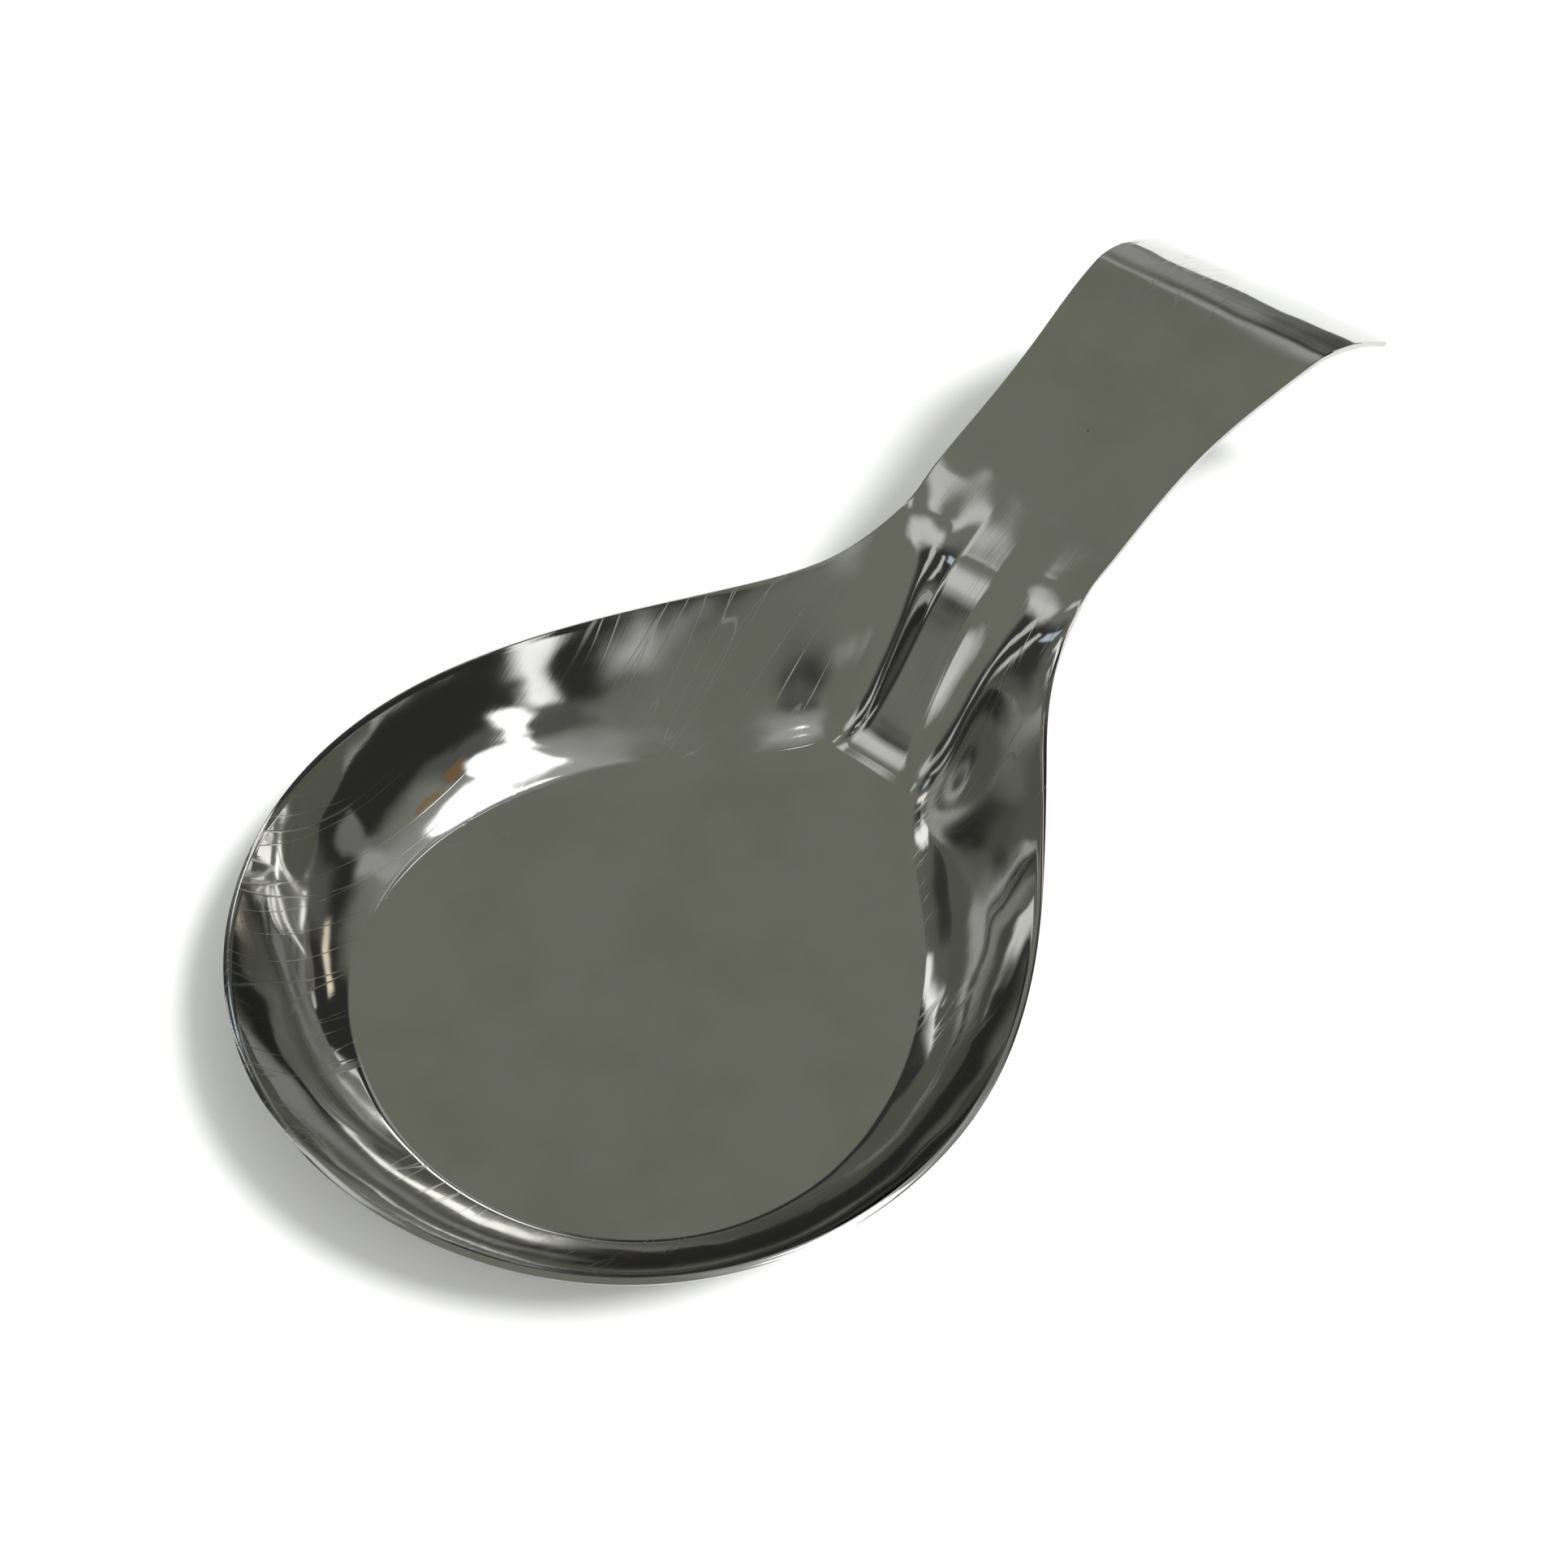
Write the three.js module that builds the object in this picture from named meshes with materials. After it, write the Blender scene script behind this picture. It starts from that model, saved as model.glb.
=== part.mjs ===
// Spoon rest, pressed and trimmed from one piece of stainless sheet: a flat-floored teardrop bowl
// whose wall runs out up a ramp and over a brow into a flared handle with a bent-down end.
// Millimetres, +Z up, +X from the bowl to the handle. The origin is on the table, below the middle.
import * as THREE from "three";
import { mergeVertices } from "three/addons/utils/BufferGeometryUtils.js";

// Driving sizes of the sheet and the whole. Widths and heights are of the sheet's upper face,
// heights are from the floor's upper face, and places along X are from the bowl's far rim.
const SHEET = 1.0; // wall of the pressed sheet
const LENGTH = 253.5; // from the far rim to the handle's end

// The bowl.
const BOWL_WIDTH = 129.6; // across the rim
const BOWL_MIDDLE = 62; // where the rim is widest
const SIDE_RIM_HEIGHT = 20;
const END_RIM_HEIGHT = 22.5; // at the far end
const FLOOR_WIDTH = 94;
const FLOOR_MIDDLE = 60; // where the floor is widest
const FLOOR_START = 17.5; // where the floor meets the far wall

// The ramp and the handle.
const NOSE = 120; // where the floor ends and the ramp starts
const BROW = 159; // where the ramp turns over into the handle
const BROW_HEIGHT = 30.6;
const TROUGH_WIDTH = 9; // of the ramp's flat bottom
const NECK = 168; // where the handle is narrowest
const NECK_WIDTH = 40;
const CREST = 226; // the handle's highest line
const CREST_HEIGHT = 46;
const END_WIDTH = 54; // across the handle's end
const END_HEIGHT = 34.8;
const CORNER_RADIUS = 2; // of the end's two corners

// How the wall and the ramp rise. Shares are of their run in plan.
const WALL_FOOT_SHARE = 0.14; // taken by the fillet at the wall's foot
const WALL_STEEPENING = 2.6; // how much slope the bowl's wall gains from its foot to its rim
const TROUGH_FOOT_SHARE = 0.5; // taken by the softer fillet at the foot of the trough's sides
const TROUGH_TOP_SHARE = 0.6; // taken by the round at their top
const TROUGH_EDGE_SLOPE_SHARE = 0.4; // of their slope that is left at the sheet's edge
const RAMP_FOOT_SHARE = 0.3; // taken by the fillet at the ramp's foot
const BROW_SHARE = 0.45; // taken by the brow
const BROW_SLOPE_SHARE = 0.33; // of the ramp's slope that is left where the handle starts
const HANDLE_BEND = 1.65; // power of the handle's rise to its crest
const LIP_BEND = 1.5; // power of the end's fall from the crest

// How finely the sheet is divided.
const ROWS_PER_STATION = 4;
const CORNER_ROWS = 4;
const FILLET_COLUMNS = 3;
const WALL_COLUMNS = 6;
const RISE_STEPS = 60;

const mix = THREE.MathUtils.lerp;
const smoothstep = THREE.MathUtils.smoothstep;
const QUARTER_TURN = Math.PI / 2;
const UP = new THREE.Vector3(0, 0, 1);

// Adds a slope up over a run of 0 to 1, and gives the share of the whole rise at any place in it.
function riseFrom(slopeAt) {
  const heights = [0];
  for (let i = 0; i < RISE_STEPS; i++) {
    heights.push(heights[i] + slopeAt((i + 1 / 2) / RISE_STEPS));
  }
  return (run) => {
    const place = THREE.MathUtils.clamp(run, 0, 1) * RISE_STEPS;
    const i = Math.min(Math.floor(place), RISE_STEPS - 1);
    return mix(heights[i], heights[i + 1], place - i) / heights[RISE_STEPS];
  };
}
const bowlRise = riseFrom(
  (run) => smoothstep(run, 0, WALL_FOOT_SHARE) * (1 + WALL_STEEPENING * run ** 2),
);
const troughRise = riseFrom(
  (run) =>
    smoothstep(run, 0, TROUGH_FOOT_SHARE) *
    mix(1, TROUGH_EDGE_SLOPE_SHARE, smoothstep(run, 1 - TROUGH_TOP_SHARE, 1)),
);
const rampRise = riseFrom(
  (run) =>
    smoothstep(run, 0, RAMP_FOOT_SHARE) *
    mix(1, BROW_SLOPE_SHARE, smoothstep(run, 1 - BROW_SHARE, 1)),
);

// The height of the centre line: floor, ramp, handle and bent end.
function centreHeight(x) {
  if (x > CREST) {
    const past = (x - CREST) / (LENGTH - CREST);
    return mix(CREST_HEIGHT, END_HEIGHT, past ** LIP_BEND);
  }
  if (x > BROW) {
    const before = (CREST - x) / (CREST - BROW);
    return mix(CREST_HEIGHT, BROW_HEIGHT, before ** HANDLE_BEND);
  }
  return BROW_HEIGHT * rampRise((x - NOSE) / (BROW - NOSE));
}

// A station ties a point on the sheet's cut edge to the foot of the wall inside it. An edge is
// [x, half width, height] and a foot is [x, half width]: the foot lies at the centre's height.
const station = (edge, foot) => ({
  edge: new THREE.Vector3(...edge),
  foot: new THREE.Vector3(...foot, 0),
});

// Round the far end, rim and floor are both half ellipses, and the rim lifts a little.
const END_STATIONS = 6;
const END_LIFT = 4; // power that keeps the lift close to the end
function endStation(i) {
  const turn = (QUARTER_TURN * i) / END_STATIONS;
  const across = Math.sin(turn);
  const back = Math.cos(turn);
  return station(
    [
      BOWL_MIDDLE * (1 - back),
      (BOWL_WIDTH / 2) * across,
      mix(SIDE_RIM_HEIGHT, END_RIM_HEIGHT, back ** END_LIFT),
    ],
    [mix(FLOOR_MIDDLE, FLOOR_START, back), (FLOOR_WIDTH / 2) * across],
  );
}

// From its widest place the rim draws in to the neck, and the floor to its nose and the ramp.
// Each row holds the rim's shares: of the way to the neck, of the width beyond the neck's and of
// the height to the brow. Then come the foot's: of the way to the brow and of the floor's width
// beyond the trough's.
const FRONT_SHARES = [
  [0.16, 0.95, 0.0, 0.13, 0.96],
  [0.327, 0.79, 0.05, 0.28, 0.82],
  [0.485, 0.56, 0.16, 0.43, 0.56],
  [0.64, 0.305, 0.27, 0.575, 0.2],
  [0.785, 0.09, 0.52, 0.735, 0.02],
  [0.925, 0.0, 0.98, 0.88, 0.0],
];
function frontStation([along, beyond, up, footAlong, footBeyond]) {
  return station(
    [
      mix(BOWL_MIDDLE, NECK, along),
      mix(NECK_WIDTH / 2, BOWL_WIDTH / 2, beyond),
      mix(SIDE_RIM_HEIGHT, BROW_HEIGHT, up),
    ],
    [mix(FLOOR_MIDDLE, BROW, footAlong), mix(TROUGH_WIDTH / 2, FLOOR_WIDTH / 2, footBeyond)],
  );
}

// From the neck to the end's corners the sheet is level across. Each row holds a share of the way
// there and the share by which the sheet has widened from the neck's width to the end's.
const FLARE_SHARES = [
  [0, 0],
  [0.2, 0.02],
  [0.4, 0.21],
  [0.6, 0.56],
  [0.8, 0.82],
  [0.92, 0.89],
  [1, 1],
];
const CORNER_START = LENGTH - CORNER_RADIUS;
const handleStation = (x, half) =>
  station([x, half, centreHeight(x)], [x, TROUGH_WIDTH / 2]);
function flareStation([along, wider]) {
  return handleStation(
    mix(NECK, CORNER_START, along),
    mix(NECK_WIDTH / 2, END_WIDTH / 2, wider),
  );
}
function cornerStation(i) {
  const turn = (QUARTER_TURN * i) / CORNER_ROWS;
  return handleStation(
    CORNER_START + CORNER_RADIUS * Math.sin(turn),
    END_WIDTH / 2 - CORNER_RADIUS * (1 - Math.cos(turn)),
  );
}

const count = (n) => Array.from({ length: n }, (_, i) => i);
const stations = [
  ...count(END_STATIONS + 1).map(endStation),
  ...FRONT_SHARES.map(frontStation),
  ...FLARE_SHARES.map(flareStation),
];
const NOSE_STATION = END_STATIONS + FRONT_SHARES.length / 2;
const NECK_STATION = END_STATIONS + FRONT_SHARES.length + 1;

// Smooth curves through the edges and the feet. Each starts one station early, on the other side,
// so that it crosses the middle square on.
function curveThrough(part) {
  const points = stations.map((s) => s[part]);
  const early = points[1].clone().setY(-points[1].y);
  return new THREE.CatmullRomCurve3([early, ...points]);
}
const edgeCurve = curveThrough("edge");
const footCurve = curveThrough("foot");
function stationAt(place) {
  const share = (place + 1) / stations.length;
  return { edge: edgeCurve.getPoint(share), foot: footCurve.getPoint(share) };
}

// One row of points across the whole sheet, from the edge on -Y over the middle to the edge on +Y.
const columnRuns = [
  ...count(FILLET_COLUMNS).map((i) => (WALL_FOOT_SHARE * i) / FILLET_COLUMNS),
  ...count(WALL_COLUMNS + 1).map((i) => mix(WALL_FOOT_SHARE, 1, i / WALL_COLUMNS)),
];
function crossRow({ edge, foot }, place) {
  const low = centreHeight(foot.x);
  const levelling = smoothstep(place, NOSE_STATION, NECK_STATION);
  const side = columnRuns.map((run) => {
    const rise = mix(bowlRise(run), troughRise(run), levelling);
    return new THREE.Vector3(
      mix(foot.x, edge.x, run),
      mix(foot.y, edge.y, run),
      mix(low, edge.z, rise),
    );
  });
  const otherSide = side.map((point) => point.clone().setY(-point.y)).reverse();
  return [...otherSide, ...side];
}

// The upper face: all the rows, joined by triangles that mirror each other over the middle. The
// first row is folded onto itself there, so its two halves are merged.
function upperFace() {
  const splineRows = (stations.length - 1) * ROWS_PER_STATION + 1;
  const rows = count(splineRows)
    .map((i) => i / ROWS_PER_STATION)
    .map((place) => crossRow(stationAt(place), place));
  for (let i = 1; i <= CORNER_ROWS; i++) {
    rows.push(crossRow(cornerStation(i), stations.length));
  }
  const across = rows[0].length;
  const index = [];
  for (let i = 0; i < rows.length - 1; i++) {
    for (let j = 0; j < across - 1; j++) {
      const a = i * across + j;
      const b = a + across;
      const onMinusSide = j < across / 2 - 1;
      index.push(...(onMinusSide ? [a, b, b + 1, a, b + 1, a + 1] : [a, b, a + 1, a + 1, b, b + 1]));
    }
  }
  const positions = rows.flat().flatMap((point) => point.toArray());
  const face = new THREE.BufferGeometry();
  face.setAttribute("position", new THREE.Float32BufferAttribute(positions, 3));
  face.setIndex(index);
  const merged = mergeVertices(face);
  const corners = Array.from(merged.index.array);
  const whole = [];
  for (let i = 0; i < corners.length; i += 3) {
    const triangle = corners.slice(i, i + 3);
    if (new Set(triangle).size === triangle.length) whole.push(...triangle);
  }
  merged.setIndex(whole);
  merged.computeVertexNormals();
  return merged;
}

// Gives a face its wall: a second face one sheet below it, and a strip along the cut edge. The
// floor's underside is kept exactly flat.
function sheetUnder(face) {
  const upper = face.getAttribute("position");
  const normals = face.getAttribute("normal");
  const positions = Array.from(upper.array);
  for (let i = 0; i < upper.count; i++) {
    const point = new THREE.Vector3().fromBufferAttribute(upper, i);
    const normal = new THREE.Vector3().fromBufferAttribute(normals, i);
    point.addScaledVector(point.z > 0 ? normal : UP, -SHEET);
    positions.push(...point.toArray());
  }
  const below = (i) => i + upper.count;
  const corners = Array.from(face.index.array);
  const sides = new Map();
  const index = [];
  for (let i = 0; i < corners.length; i += 3) {
    const [a, b, c] = corners.slice(i, i + 3);
    index.push(a, b, c, below(c), below(b), below(a));
    for (const [from, to] of [[a, b], [b, c], [c, a]]) {
      sides.set(`${from} ${to}`, [from, to]);
    }
  }
  for (const [from, to] of sides.values()) {
    if (sides.has(`${to} ${from}`)) continue;
    index.push(to, from, below(from), to, below(from), below(to));
  }
  const sheet = new THREE.BufferGeometry();
  sheet.setAttribute("position", new THREE.Float32BufferAttribute(positions, 3));
  sheet.setIndex(index);
  sheet.computeVertexNormals();
  return sheet;
}

// The whole rest is this one sheet. It is moved so that the middle of its box is over the origin
// and its underside is on the table.
function pressedBody() {
  const polishedStainless = new THREE.MeshStandardMaterial({
    color: 0xb9bab2,
    metalness: 1,
    roughness: 0.2,
  });
  const geometry = sheetUnder(upperFace());
  geometry.computeBoundingBox();
  const box = geometry.boundingBox;
  const middle = box.getCenter(new THREE.Vector3());
  const body = new THREE.Mesh(geometry, polishedStainless);
  body.name = "pressed_body";
  body.position.set(-middle.x, 0, -box.min.z);
  return body;
}

const spoonRest = new THREE.Group();
spoonRest.add(pressedBody());

export default spoonRest;
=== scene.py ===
import math

import bmesh
import bpy
import numpy as np
from mathutils import Matrix, Vector


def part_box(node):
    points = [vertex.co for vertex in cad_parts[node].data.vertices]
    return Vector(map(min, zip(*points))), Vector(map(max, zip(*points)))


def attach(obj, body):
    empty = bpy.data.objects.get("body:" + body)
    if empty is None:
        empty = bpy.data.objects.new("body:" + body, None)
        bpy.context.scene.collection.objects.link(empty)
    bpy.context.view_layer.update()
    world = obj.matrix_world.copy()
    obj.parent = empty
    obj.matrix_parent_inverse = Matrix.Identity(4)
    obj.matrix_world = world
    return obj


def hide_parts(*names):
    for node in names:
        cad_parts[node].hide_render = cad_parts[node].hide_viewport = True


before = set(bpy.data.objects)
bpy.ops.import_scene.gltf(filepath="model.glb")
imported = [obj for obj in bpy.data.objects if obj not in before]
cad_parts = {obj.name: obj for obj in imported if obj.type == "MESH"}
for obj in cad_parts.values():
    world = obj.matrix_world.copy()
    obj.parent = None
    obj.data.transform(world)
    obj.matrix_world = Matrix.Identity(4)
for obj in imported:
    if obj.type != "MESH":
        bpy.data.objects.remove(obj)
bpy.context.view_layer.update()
MM = 0.001

# The camera stands over the bowl's rim and looks along the rest towards the handle, at the
# photograph's height and turn. The focal length is a normal lens on a 36 mm wide sensor.
CAMERA_HEADING = 41.40  # degrees from +X towards +Y
CAMERA_DROP = 50.27  # degrees below the horizon
CAMERA_ROLL = -0.92
CAMERA_DISTANCE = 362.9 * MM
CAMERA_AIM = Vector((-13.9, 9.6, 1.0)) * MM
CAMERA_LENS = 45.27
heading, drop, roll = (math.radians(a) for a in (CAMERA_HEADING, CAMERA_DROP, CAMERA_ROLL))
forward = Vector((
    math.cos(heading) * math.cos(drop),
    math.sin(heading) * math.cos(drop),
    -math.sin(drop),
))
level_right = Vector((math.sin(heading), -math.cos(heading), 0))
level_up = level_right.cross(forward)
right = math.cos(roll) * level_right + math.sin(roll) * level_up
up = math.cos(roll) * level_up - math.sin(roll) * level_right
camera_data = bpy.data.cameras.new("camera")
camera_data.lens = CAMERA_LENS
camera_data.sensor_width = 36
camera_data.clip_start = 10 * MM
camera = bpy.data.objects.new("camera", camera_data)
turn = Matrix((right, up, -forward)).transposed()
camera.matrix_world = Matrix.Translation(CAMERA_AIM - forward * CAMERA_DISTANCE) @ turn.to_4x4()
bpy.context.scene.collection.objects.link(camera)
bpy.context.scene.camera = camera

# The pressed body is one sheet of stainless, drawn into a flat-floored teardrop bowl whose wall
# runs out up a ramp and over a brow into a flared handle with a bent-down end. Its cut edge is
# lightly rounded by polishing.
SHEET = 1.0 * MM
LENGTH = 253.5 * MM
BOWL_WIDTH = 129.6 * MM
BOWL_MIDDLE = 62 * MM
SIDE_RIM_HEIGHT = 20 * MM
END_RIM_HEIGHT = 22.5 * MM
FLOOR_WIDTH = 94 * MM
FLOOR_MIDDLE = 60 * MM
FLOOR_START = 17.5 * MM
NOSE = 120 * MM
BROW = 159 * MM
BROW_HEIGHT = 30.6 * MM
TROUGH_WIDTH = 9 * MM
NECK = 168 * MM
NECK_WIDTH = 40 * MM
CREST = 226 * MM
CREST_HEIGHT = 46 * MM
END_WIDTH = 54 * MM
END_HEIGHT = 34.8 * MM
CORNER_RADIUS = 2 * MM
EDGE_ROUND = 0.3 * MM

WALL_FOOT_SHARE = 0.14
WALL_STEEPENING = 2.6
TROUGH_FOOT_SHARE = 0.5
TROUGH_TOP_SHARE = 0.6
TROUGH_EDGE_SLOPE_SHARE = 0.4
RAMP_FOOT_SHARE = 0.45
BROW_SHARE = 0.45
BROW_SLOPE_SHARE = 0.33
HANDLE_BEND = 1.65
LIP_BEND = 1.5

ROWS_PER_STATION = 24
CORNER_ROWS = 10
FILLET_COLUMNS = 10
WALL_COLUMNS = 34
MIDDLE_COLUMNS = 8
RISE_STEPS = 2000


def smoothstep(x, low, high):
    share = np.clip((x - low) / (high - low), 0, 1)
    return share * share * (3 - 2 * share)


def mix(a, b, share):
    return a + (b - a) * share


def rise_from(slope_at):
    """Adds a slope up over a run of 0 to 1, as shares of the whole rise."""
    middles = (np.arange(RISE_STEPS) + 0.5) / RISE_STEPS
    heights = np.concatenate(([0], np.cumsum(slope_at(middles))))
    places = np.arange(RISE_STEPS + 1) / RISE_STEPS
    return lambda run: np.interp(run, places, heights / heights[-1])


bowl_rise = rise_from(
    lambda run: smoothstep(run, 0, WALL_FOOT_SHARE) * (1 + WALL_STEEPENING * run**2)
)
trough_rise = rise_from(
    lambda run: smoothstep(run, 0, TROUGH_FOOT_SHARE)
    * mix(1, TROUGH_EDGE_SLOPE_SHARE, smoothstep(run, 1 - TROUGH_TOP_SHARE, 1))
)
ramp_rise = rise_from(
    lambda run: smoothstep(run, 0, RAMP_FOOT_SHARE)
    * mix(1, BROW_SLOPE_SHARE, smoothstep(run, 1 - BROW_SHARE, 1))
)


def centre_height(x):
    """The height of the centre line over the floor: floor, ramp, handle and bent end."""
    past = np.clip((x - CREST) / (LENGTH - CREST), 0, 1)
    before = np.clip((CREST - x) / (CREST - BROW), 0, 1)
    lip = mix(CREST_HEIGHT, END_HEIGHT, past**LIP_BEND)
    handle = mix(CREST_HEIGHT, BROW_HEIGHT, before**HANDLE_BEND)
    ramp = BROW_HEIGHT * ramp_rise((x - NOSE) / (BROW - NOSE))
    return np.where(x > CREST, lip, np.where(x > BROW, handle, ramp))


# Stations tie points on the cut edge (x, half width, height) to the foot of the wall inside them
# (x, half width). Round the far end both are half ellipses.
END_STATIONS = 6
END_LIFT = 4
edges, feet = [], []
for i in range(END_STATIONS + 1):
    quarter = math.pi / 2 * i / END_STATIONS
    across, back = math.sin(quarter), math.cos(quarter)
    lift = mix(SIDE_RIM_HEIGHT, END_RIM_HEIGHT, back**END_LIFT)
    edges.append((BOWL_MIDDLE * (1 - back), BOWL_WIDTH / 2 * across, lift))
    feet.append((mix(FLOOR_MIDDLE, FLOOR_START, back), FLOOR_WIDTH / 2 * across))

# Then the rim draws in to the neck and the floor to its nose: shares of the way, of the width
# beyond the neck's and of the height, and for the foot of the way and of the width.
FRONT_SHARES = [
    (0.16, 0.95, 0.0, 0.13, 0.96),
    (0.327, 0.79, 0.05, 0.28, 0.82),
    (0.485, 0.56, 0.16, 0.43, 0.56),
    (0.64, 0.305, 0.27, 0.575, 0.2),
    (0.785, 0.09, 0.52, 0.735, 0.02),
    (0.925, 0.0, 0.98, 0.88, 0.0),
]
for along, beyond, rise, foot_along, foot_beyond in FRONT_SHARES:
    edges.append((
        mix(BOWL_MIDDLE, NECK, along),
        mix(NECK_WIDTH / 2, BOWL_WIDTH / 2, beyond),
        mix(SIDE_RIM_HEIGHT, BROW_HEIGHT, rise),
    ))
    feet.append((
        mix(FLOOR_MIDDLE, BROW, foot_along),
        mix(TROUGH_WIDTH / 2, FLOOR_WIDTH / 2, foot_beyond),
    ))

# The handle is level across, and widens from the neck to its end by these shares.
FLARE_SHARES = [(0, 0), (0.2, 0.02), (0.4, 0.21), (0.6, 0.56), (0.8, 0.82), (0.92, 0.89), (1, 1)]
CORNER_START = LENGTH - CORNER_RADIUS
for along, wider in FLARE_SHARES:
    x = mix(NECK, CORNER_START, along)
    edges.append((x, mix(NECK_WIDTH / 2, END_WIDTH / 2, wider), float(centre_height(x))))
    feet.append((x, TROUGH_WIDTH / 2))


def smooth_curve(points, knots, places):
    """A natural cubic spline through the points, so that reflections run on without a break."""
    points = np.array(points, float)
    gaps = np.diff(knots)
    n = len(knots)
    system = np.eye(n)
    wanted = np.zeros_like(points)
    for i in range(1, n - 1):
        system[i, i - 1] = gaps[i - 1]
        system[i, i] = 2 * (gaps[i - 1] + gaps[i])
        system[i, i + 1] = gaps[i]
        slopes = (points[i + 1] - points[i]) / gaps[i] - (points[i] - points[i - 1]) / gaps[i - 1]
        wanted[i] = 6 * slopes
    bends = np.linalg.solve(system, wanted)
    k = np.clip(np.searchsorted(knots, places, side="right") - 1, 0, n - 2)
    gap = gaps[k][:, None]
    a = (knots[k + 1] - places)[:, None] / gap
    b = 1 - a
    cubic = (a**3 - a) * bends[k] + (b**3 - b) * bends[k + 1]
    return a * points[k] + b * points[k + 1] + cubic * gap**2 / 6


# Both curves start two stations early, on the other side, so that they cross the middle square.
def mirrored_start(points):
    flip = np.array([1, -1, 1])[: len(points[0])]
    return [tuple(np.array(points[2]) * flip), tuple(np.array(points[1]) * flip)] + points


knots = np.arange(-2, len(edges), dtype=float)
rows = np.arange((len(edges) - 1) * ROWS_PER_STATION + 1) / ROWS_PER_STATION
edge_rows = smooth_curve(mirrored_start(edges), knots, rows)
foot_rows = smooth_curve(mirrored_start(feet), knots, rows)
corner = math.pi / 2 * np.arange(1, CORNER_ROWS + 1) / CORNER_ROWS
corner_x = CORNER_START + CORNER_RADIUS * np.sin(corner)
corner_half = END_WIDTH / 2 - CORNER_RADIUS * (1 - np.cos(corner))
edge_rows = np.vstack([edge_rows, np.c_[corner_x, corner_half, centre_height(corner_x)]])
foot_rows = np.vstack([foot_rows, np.c_[corner_x, np.full(CORNER_ROWS, TROUGH_WIDTH / 2)]])
rows = np.concatenate([rows, np.full(CORNER_ROWS, rows[-1])])
NOSE_STATION = END_STATIONS + len(FRONT_SHARES) / 4
NECK_STATION = END_STATIONS + len(FRONT_SHARES) + 1
on_handle = rows >= NECK_STATION
edge_rows[on_handle, 2] = centre_height(edge_rows[on_handle, 0])

# Each row runs across the sheet, from the edge on -Y over the flat middle to the edge on +Y.
runs = np.concatenate([
    WALL_FOOT_SHARE * np.arange(FILLET_COLUMNS) / FILLET_COLUMNS,
    mix(WALL_FOOT_SHARE, 1, np.arange(WALL_COLUMNS + 1) / WALL_COLUMNS),
])
levelling = smoothstep(rows, NOSE_STATION, NECK_STATION)[:, None]
rise = mix(bowl_rise(runs)[None], trough_rise(runs)[None], levelling)
low = centre_height(foot_rows[:, 0])[:, None]
side = np.stack([
    mix(foot_rows[:, :1], edge_rows[:, :1], runs[None]),
    mix(foot_rows[:, 1:2], edge_rows[:, 1:2], runs[None]),
    mix(low, edge_rows[:, 2:3], rise),
], axis=-1)
other_side = side[:, ::-1] * np.array([1, -1, 1])
inner = np.arange(1, MIDDLE_COLUMNS)[None, :, None] / MIDDLE_COLUMNS
middle = mix(other_side[:, -1:], side[:, :1], inner)
grid = np.concatenate([other_side, middle, side], axis=1)
box_low, box_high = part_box("pressed_body")
grid += np.array([box_high.x - LENGTH, 0, box_low.z + SHEET])

row_count, across_count = grid.shape[:2]
vertices = grid.reshape(-1, 3)
faces = []
for i in range(row_count - 1):
    for j in range(across_count - 1):
        a = i * across_count + j
        faces.append((a, a + across_count, a + across_count + 1, a + 1))
body_mesh = bpy.data.meshes.new("pressed_stainless")
body_mesh.from_pydata(vertices.tolist(), [], faces)
pressed_body = bpy.data.objects.new("pressed_stainless", body_mesh)
bpy.context.scene.collection.objects.link(pressed_body)
joined = bmesh.new()
joined.from_mesh(body_mesh)
bmesh.ops.remove_doubles(joined, verts=joined.verts, dist=0.002 * MM)
joined.to_mesh(body_mesh)
joined.free()
wall = pressed_body.modifiers.new("wall", "SOLIDIFY")
wall.thickness = SHEET
wall.offset = -1
edge_polish = pressed_body.modifiers.new("edge_polish", "BEVEL")
edge_polish.width = EDGE_ROUND
edge_polish.segments = 3
edge_polish.limit_method = "ANGLE"
edge_polish.angle_limit = math.radians(60)
body_mesh.polygons.foreach_set("use_smooth", [True] * len(body_mesh.polygons))
body_mesh.update()


# The finish is 304 stainless sheet, mop-polished after pressing: a bright mirror that still shows
# the fine lines of the mop, a web of hairline scratches from use and a few small nicks.
def srgb(hex_colour):
    """An sRGB hex colour as linear RGBA."""
    parts = [int(hex_colour[i : i + 2], 16) / 255 for i in (1, 3, 5)]
    linear = [c / 12.92 if c <= 0.04045 else ((c + 0.055) / 1.055) ** 2.4 for c in parts]
    return (*linear, 1.0)


def add(tree, kind, settings=None, **links):
    """Adds a node, sets its properties and links or sets its inputs by name."""
    node = tree.nodes.new(kind)
    for name, value in (settings or {}).items():
        setattr(node, name, value)
    for name, value in links.items():
        key = int(name[1:]) if name[1:].isdigit() else name.replace("_", " ")
        if isinstance(value, bpy.types.NodeSocket):
            tree.links.new(value, node.inputs[key])
        else:
            node.inputs[key].default_value = value
    return node


STEEL = "#c9c9c6"
HAZE_SIZE = 22 * MM
MOP_LINE_SPACING = 0.35 * MM
MOP_LINE_LENGTH = 14 * MM
HAIRLINE_SPACING = 7 * MM
NICK_SPACING = 9 * MM
NICK_RADIUS = 0.35 * MM
WAVE_SIZE = 16 * MM
WAVE_DEPTH = 0.4 * MM

polished_stainless = bpy.data.materials.new("mop_polished_stainless")
polished_stainless.use_nodes = True
tree = polished_stainless.node_tree
tree.nodes.clear()
place = add(tree, "ShaderNodeTexCoord").outputs["Object"]

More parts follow.
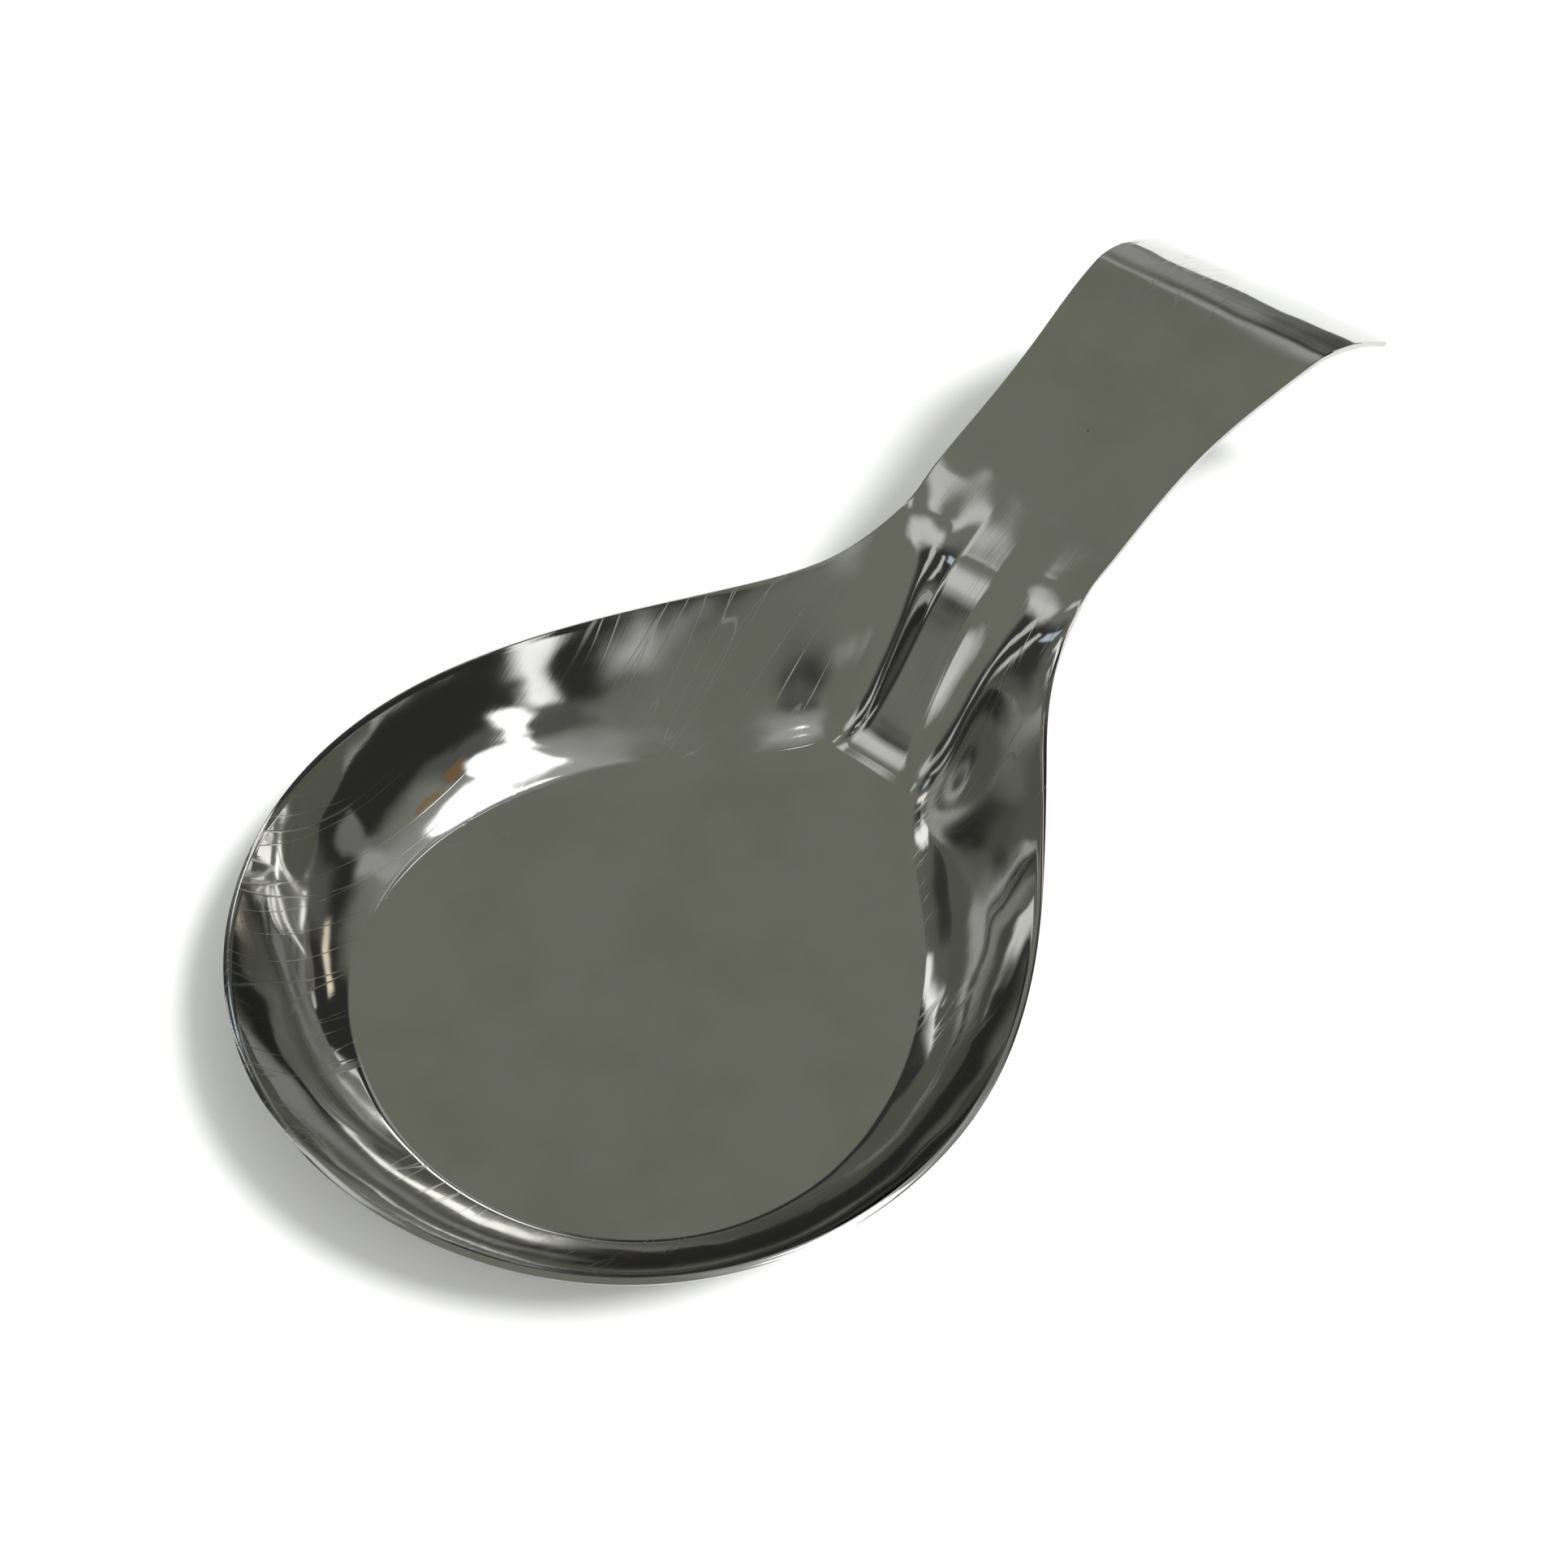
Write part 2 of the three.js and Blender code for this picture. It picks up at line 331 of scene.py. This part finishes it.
# Haze: broad soft patches where the polish is a little duller.
haze = add(tree, "ShaderNodeTexNoise", {"noise_dimensions": "3D"},
           Vector=place, Scale=1 / HAZE_SIZE, Detail=3.0, Roughness=0.55).outputs["Fac"]
haze_share = add(tree, "ShaderNodeMapRange", {"interpolation_type": "SMOOTHSTEP"},
                 Value=haze, From_Min=0.42, From_Max=0.68, To_Min=0.0, To_Max=1.0).outputs[0]

# Mop lines: short, close strokes along and across the sheet, drawn coarser than real ones.
strokes = []
for turn_degrees in (8, 62, 118):
    turned = add(tree, "ShaderNodeMapping", {"vector_type": "POINT"}, Vector=place,
                 Rotation=(0, 0, math.radians(turn_degrees)),
                 Scale=(1 / MOP_LINE_LENGTH, 1 / MOP_LINE_SPACING, 1 / MOP_LINE_LENGTH))
    strokes.append(add(tree, "ShaderNodeTexNoise", None, Vector=turned.outputs[0],
                       Scale=1.0, Detail=1.0, Roughness=0.5).outputs["Fac"])
pair = add(tree, "ShaderNodeMath", {"operation": "ADD"}, _0=strokes[0], _1=strokes[1])
mop_lines = add(tree, "ShaderNodeMath", {"operation": "ADD"}, _0=pair.outputs[0], _1=strokes[2])

# Hairlines: thin curved scratches, where a stretched noise passes its middle value.
hairlines = []
for turn_degrees, shift in ((20, 0.0), (75, 3.7), (130, 8.1)):
    turned = add(tree, "ShaderNodeMapping", None, Vector=place,
                 Location=(shift, shift, shift),
                 Rotation=(0, 0, math.radians(turn_degrees)),
                 Scale=(0.06 / HAIRLINE_SPACING, 1 / HAIRLINE_SPACING, 0.06 / HAIRLINE_SPACING))
    ridge = add(tree, "ShaderNodeTexNoise", None, Vector=turned.outputs[0],
                Scale=1.0, Detail=1.0, Roughness=0.4)
    off_middle = add(tree, "ShaderNodeMath", {"operation": "SUBTRACT"},
                     _0=ridge.outputs["Fac"], _1=0.5)
    distance = add(tree, "ShaderNodeMath", {"operation": "ABSOLUTE"}, _0=off_middle.outputs[0])
    line = add(tree, "ShaderNodeMapRange", {"interpolation_type": "SMOOTHSTEP"},
               Value=distance.outputs[0], From_Min=0.0, From_Max=0.006, To_Min=1.0, To_Max=0.0)
    hairlines.append(line.outputs[0])
pair = add(tree, "ShaderNodeMath", {"operation": "MAXIMUM"}, _0=hairlines[0], _1=hairlines[1])
web = add(tree, "ShaderNodeMath", {"operation": "MAXIMUM"}, _0=pair.outputs[0], _1=hairlines[2])
worn = add(tree, "ShaderNodeTexNoise", None, Vector=place, Scale=1 / (30 * MM), Detail=1.0)
worn_share = add(tree, "ShaderNodeMapRange", {"interpolation_type": "SMOOTHSTEP"},
                 Value=worn.outputs["Fac"], From_Min=0.45, From_Max=0.6, To_Min=0.05, To_Max=1.0)
scratches = add(tree, "ShaderNodeMath", {"operation": "MULTIPLY"},
                _0=web.outputs[0], _1=worn_share.outputs[0])

# Nicks: small dents, one in about five cells.
cells = add(tree, "ShaderNodeTexVoronoi", None, Vector=place, Scale=1 / NICK_SPACING)
chosen = add(tree, "ShaderNodeSeparateColor", None, Color=cells.outputs["Color"])
is_chosen = add(tree, "ShaderNodeMath", {"operation": "GREATER_THAN"},
                _0=chosen.outputs[0], _1=0.82)
dent = add(tree, "ShaderNodeMapRange", {"interpolation_type": "SMOOTHSTEP"},
           Value=cells.outputs["Distance"], From_Min=0.0, From_Max=NICK_RADIUS / NICK_SPACING,
           To_Min=1.0, To_Max=0.0)
nicks = add(tree, "ShaderNodeMath", {"operation": "MULTIPLY"},
            _0=dent.outputs[0], _1=is_chosen.outputs[0])

# Height: lines stand out a little, scratches and nicks go in.
line_height = add(tree, "ShaderNodeMath", {"operation": "MULTIPLY"},
                  _0=mop_lines.outputs[0], _1=0.20)
after_scratches = add(tree, "ShaderNodeMath", {"operation": "SUBTRACT"},
                      _0=line_height.outputs[0], _1=scratches.outputs[0])
after_nicks = add(tree, "ShaderNodeMath", {"operation": "SUBTRACT"},
                  _0=after_scratches.outputs[0], _1=nicks.outputs[0])
relief = add(tree, "ShaderNodeBump", None, Height=after_nicks.outputs[0],
             Strength=0.12, Distance=0.05 * MM)

# The pressed walls are never quite true: slow waves of some hundredths of a millimetre.
waves = add(tree, "ShaderNodeTexNoise", None, Vector=place,
            Scale=1 / WAVE_SIZE, Detail=1.0, Roughness=0.4)
waved = add(tree, "ShaderNodeBump", None, Height=waves.outputs["Fac"], Strength=1.0,
            Distance=WAVE_DEPTH, Normal=relief.outputs[0])
smooth_polish = add(tree, "ShaderNodeMapRange", None, Value=haze_share,
                    From_Min=0.0, From_Max=1.0, To_Min=0.05, To_Max=0.10)
scratched = add(tree, "ShaderNodeMath", {"operation": "MULTIPLY_ADD"},
                _0=scratches.outputs[0], _1=0.18, _2=smooth_polish.outputs[0])
steel_tint = add(tree, "ShaderNodeMix", {"data_type": "RGBA"}, _0=haze_share,
                 _6=srgb(STEEL), _7=srgb("#c0c0bc"))
nicked_tint = add(tree, "ShaderNodeMix", {"data_type": "RGBA"}, _0=nicks.outputs[0],
                  _6=steel_tint.outputs[2], _7=srgb("#4c4c48"))
metal = add(tree, "ShaderNodeBsdfPrincipled", None, Base_Color=nicked_tint.outputs[2],
            Metallic=1.0, Roughness=scratched.outputs[0], Normal=waved.outputs[0])
add(tree, "ShaderNodeOutputMaterial", None, Surface=metal.outputs[0])
pressed_body.data.materials.append(polished_stainless)

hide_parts("pressed_body")
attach(pressed_body, "root")

# The studio floor is a small table top of matt white paper, laid flat. Past its edge the steel
# sees the room, as it does in a real studio, so the bent end isn't lost in white.
FLOOR_SIZE = 900 * MM
floor_mesh = bpy.data.meshes.new("studio_floor")
reach = FLOOR_SIZE / 2
floor_mesh.from_pydata(
    [(-reach, -reach, 0), (reach, -reach, 0), (reach, reach, 0), (-reach, reach, 0)],
    [],
    [(0, 1, 2, 3)],
)
studio_floor = bpy.data.objects.new("studio_floor", floor_mesh)
bpy.context.scene.collection.objects.link(studio_floor)
matt_white = bpy.data.materials.new("matt_white_paper")
matt_white.use_nodes = True
tree = matt_white.node_tree
tree.nodes.clear()
paper = add(tree, "ShaderNodeBsdfDiffuse", None, Color=srgb("#f7f8f8"))
add(tree, "ShaderNodeOutputMaterial", None, Surface=paper.outputs[0])
studio_floor.data.materials.append(matt_white)

# The room is what polished steel shows: a grey-olive ceiling, a bright window high on the -Y side
# with a lit wall edge running down from it, and darker furnishings lower down. Each patch is
# (turn, height, half width, half height, softness) in degrees, then its strength and colour.
ROOM_GREY = "#83857b"
ROOM_PATCHES = [
    (-75, 62, 44, 16, 30, 0.50, "#ffffff"),
    (-52, 13, 74, 18, 9, 0.035, "#ffffff"),
    (62, 8, 26, 24, 10, 0.045, "#ffffff"),
    (120, 26, 28, 18, 12, 0.05, "#ffffff"),
    (-98, 36, 22, 7, 8, 0.12, "#ffffff"),
    (-30, 8, 10, 12, 8, 0.14, "#ffffff"),
    (-50, 24, 4, 12, 4, 0.22, "#ffffff"),
    (-44, 38, 5, 8, 5, 0.45, "#ffffff"),
    (-15, 22, 8, 2, 2, 1.2, "#fff2dd"),
    (-84, 38, 7, 3, 2, 0.40, "#d2a877"),
    (-67, 42, 6, 2, 2, 0.46, "#d2b48c"),
    (-72, 59, 17, 8, 6, 4.0, "#ffffff"),
    (-28, 55, 16, 2, 3, 0.7, "#ffffff"),
    (-48, 68, 15, 3, 4, 0.7, "#ffffff"),
    (-36, 61, 16, 1, 2, 0.16, "#ffffff"),
    (-95, 50, 8, 8, 5, 3.5, "#ffffff"),
    (-104, 36, 3, 13, 4, 3.0, "#ffffff"),
    (-112, 12, 3, 14, 4, 1.6, "#ffffff"),
    (-2, 72, 5, 8, 5, 1.6, "#ffffff"),
    (11, 4, 2, 8, 3, 1.2, "#ffffff"),
    (22, 30, 6, 7, 5, 0.45, "#ffffff"),
    (84, 18, 2, 16, 3, 1.4, "#ffffff"),
    (99, 34, 5, 4, 3, 0.9, "#dcecff"),
    (110, 24, 2, 12, 3, 0.8, "#ffffff"),
    (128, 36, 4, 12, 4, 0.7, "#ffffff"),
    (134, 52, 16, 7, 12, 0.80, "#ffffff"),
    (94, 63, 14, 4, 6, 0.75, "#ffffff"),
    (34, 27, 6, 3, 4, 0.45, "#ffffff"),
    (30, 6, 12, 9, 8, 0.36, "#ffffff"),
    (-155, 12, 30, 12, 10, 0.9, "#ffffff"),
]
world = bpy.data.worlds.new("room")
world.use_nodes = True
bpy.context.scene.world = world
tree = world.node_tree
tree.nodes.clear()
true_direction = add(tree, "ShaderNodeTexCoord").outputs["Generated"]
wander = add(tree, "ShaderNodeTexNoise", None, Vector=true_direction, Scale=3.5, Detail=2.5)
wander_middle = add(tree, "ShaderNodeVectorMath", {"operation": "SUBTRACT"},
                    _0=wander.outputs["Color"], _1=(0.5, 0.5, 0.5))
bent = add(tree, "ShaderNodeVectorMath", {"operation": "MULTIPLY_ADD"},
           _0=wander_middle.outputs[0], _1=(0.24, 0.24, 0.24), _2=true_direction)
direction = add(tree, "ShaderNodeVectorMath", {"operation": "NORMALIZE"},
                _0=bent.outputs[0]).outputs[0]
axes = add(tree, "ShaderNodeSeparateXYZ", None, _0=direction)
turn_angle = add(tree, "ShaderNodeMath", {"operation": "ARCTAN2"},
                 _0=axes.outputs[1], _1=axes.outputs[0]).outputs[0]
height_angle = add(tree, "ShaderNodeMath", {"operation": "ARCSINE"},
                   _0=axes.outputs[2]).outputs[0]


def within(angle, centre, half, softness):
    """1 near the centre angle and 0 past half its width, softly, all in degrees."""
    offset = add(tree, "ShaderNodeMath", {"operation": "SUBTRACT"},
                 _0=angle, _1=math.radians(centre))
    wrapped = add(tree, "ShaderNodeMath", {"operation": "WRAP"},
                  _0=offset.outputs[0], _1=math.pi, _2=-math.pi)
    size = add(tree, "ShaderNodeMath", {"operation": "ABSOLUTE"}, _0=wrapped.outputs[0])
    edge = add(tree, "ShaderNodeMapRange", {"interpolation_type": "SMOOTHSTEP"},
               Value=size.outputs[0], From_Min=math.radians(half - softness / 2),
               From_Max=math.radians(half + softness / 2), To_Min=1.0, To_Max=0.0)
    return edge.outputs[0]


room = add(tree, "ShaderNodeRGB")
room.outputs[0].default_value = srgb(ROOM_GREY)
room_colour = room.outputs[0]
for turn_at, height_at, half_turn, half_height, softness, strength, tint in ROOM_PATCHES:
    inside = add(tree, "ShaderNodeMath", {"operation": "MULTIPLY"},
                 _0=within(turn_angle, turn_at, half_turn, softness),
                 _1=within(height_angle, height_at, half_height, softness))
    colour = [strength * c for c in srgb(tint)[:3]] + [1.0]
    room_colour = add(tree, "ShaderNodeMix", {"data_type": "RGBA"}, _0=inside.outputs[0],
                      _6=room_colour, _7=colour).outputs[2]
seen = add(tree, "ShaderNodeBackground", None, Color=room_colour, Strength=1.0)
white = add(tree, "ShaderNodeBackground", None, Color=(1, 1, 1, 1), Strength=1.0)
ray = add(tree, "ShaderNodeLightPath")
sky = add(tree, "ShaderNodeMixShader", None, _0=ray.outputs["Is Camera Ray"],
          _1=seen.outputs[0], _2=white.outputs[0])
add(tree, "ShaderNodeOutputWorld", None, Surface=sky.outputs[0])


# Two soft lamps light the floor: the main one from the right, which throws the shadow to the
# left, and a weaker one from overhead. The steel shows the room and not these lamps.
def soft_sun(name, heading_degrees, height_degrees, spread_degrees, strength):
    """A lamp so far off that the whole floor gets the same light."""
    lamp = bpy.data.lights.new(name, "SUN")
    lamp.angle = math.radians(spread_degrees)
    lamp.energy = strength
    sun = bpy.data.objects.new(name, lamp)
    towards = Vector((
        math.cos(math.radians(heading_degrees)) * math.cos(math.radians(height_degrees)),
        math.sin(math.radians(heading_degrees)) * math.cos(math.radians(height_degrees)),
        math.sin(math.radians(height_degrees)),
    ))
    sun.rotation_mode = "QUATERNION"
    sun.rotation_quaternion = towards.to_track_quat("Z", "Y")
    sun.visible_glossy = False
    bpy.context.scene.collection.objects.link(sun)


soft_sun("main_lamp", -72, 55, 12, 2.35)
soft_sun("overhead_lamp", -60, 80, 120, 0.8)
bpy.context.scene.view_settings.view_transform = "Standard"
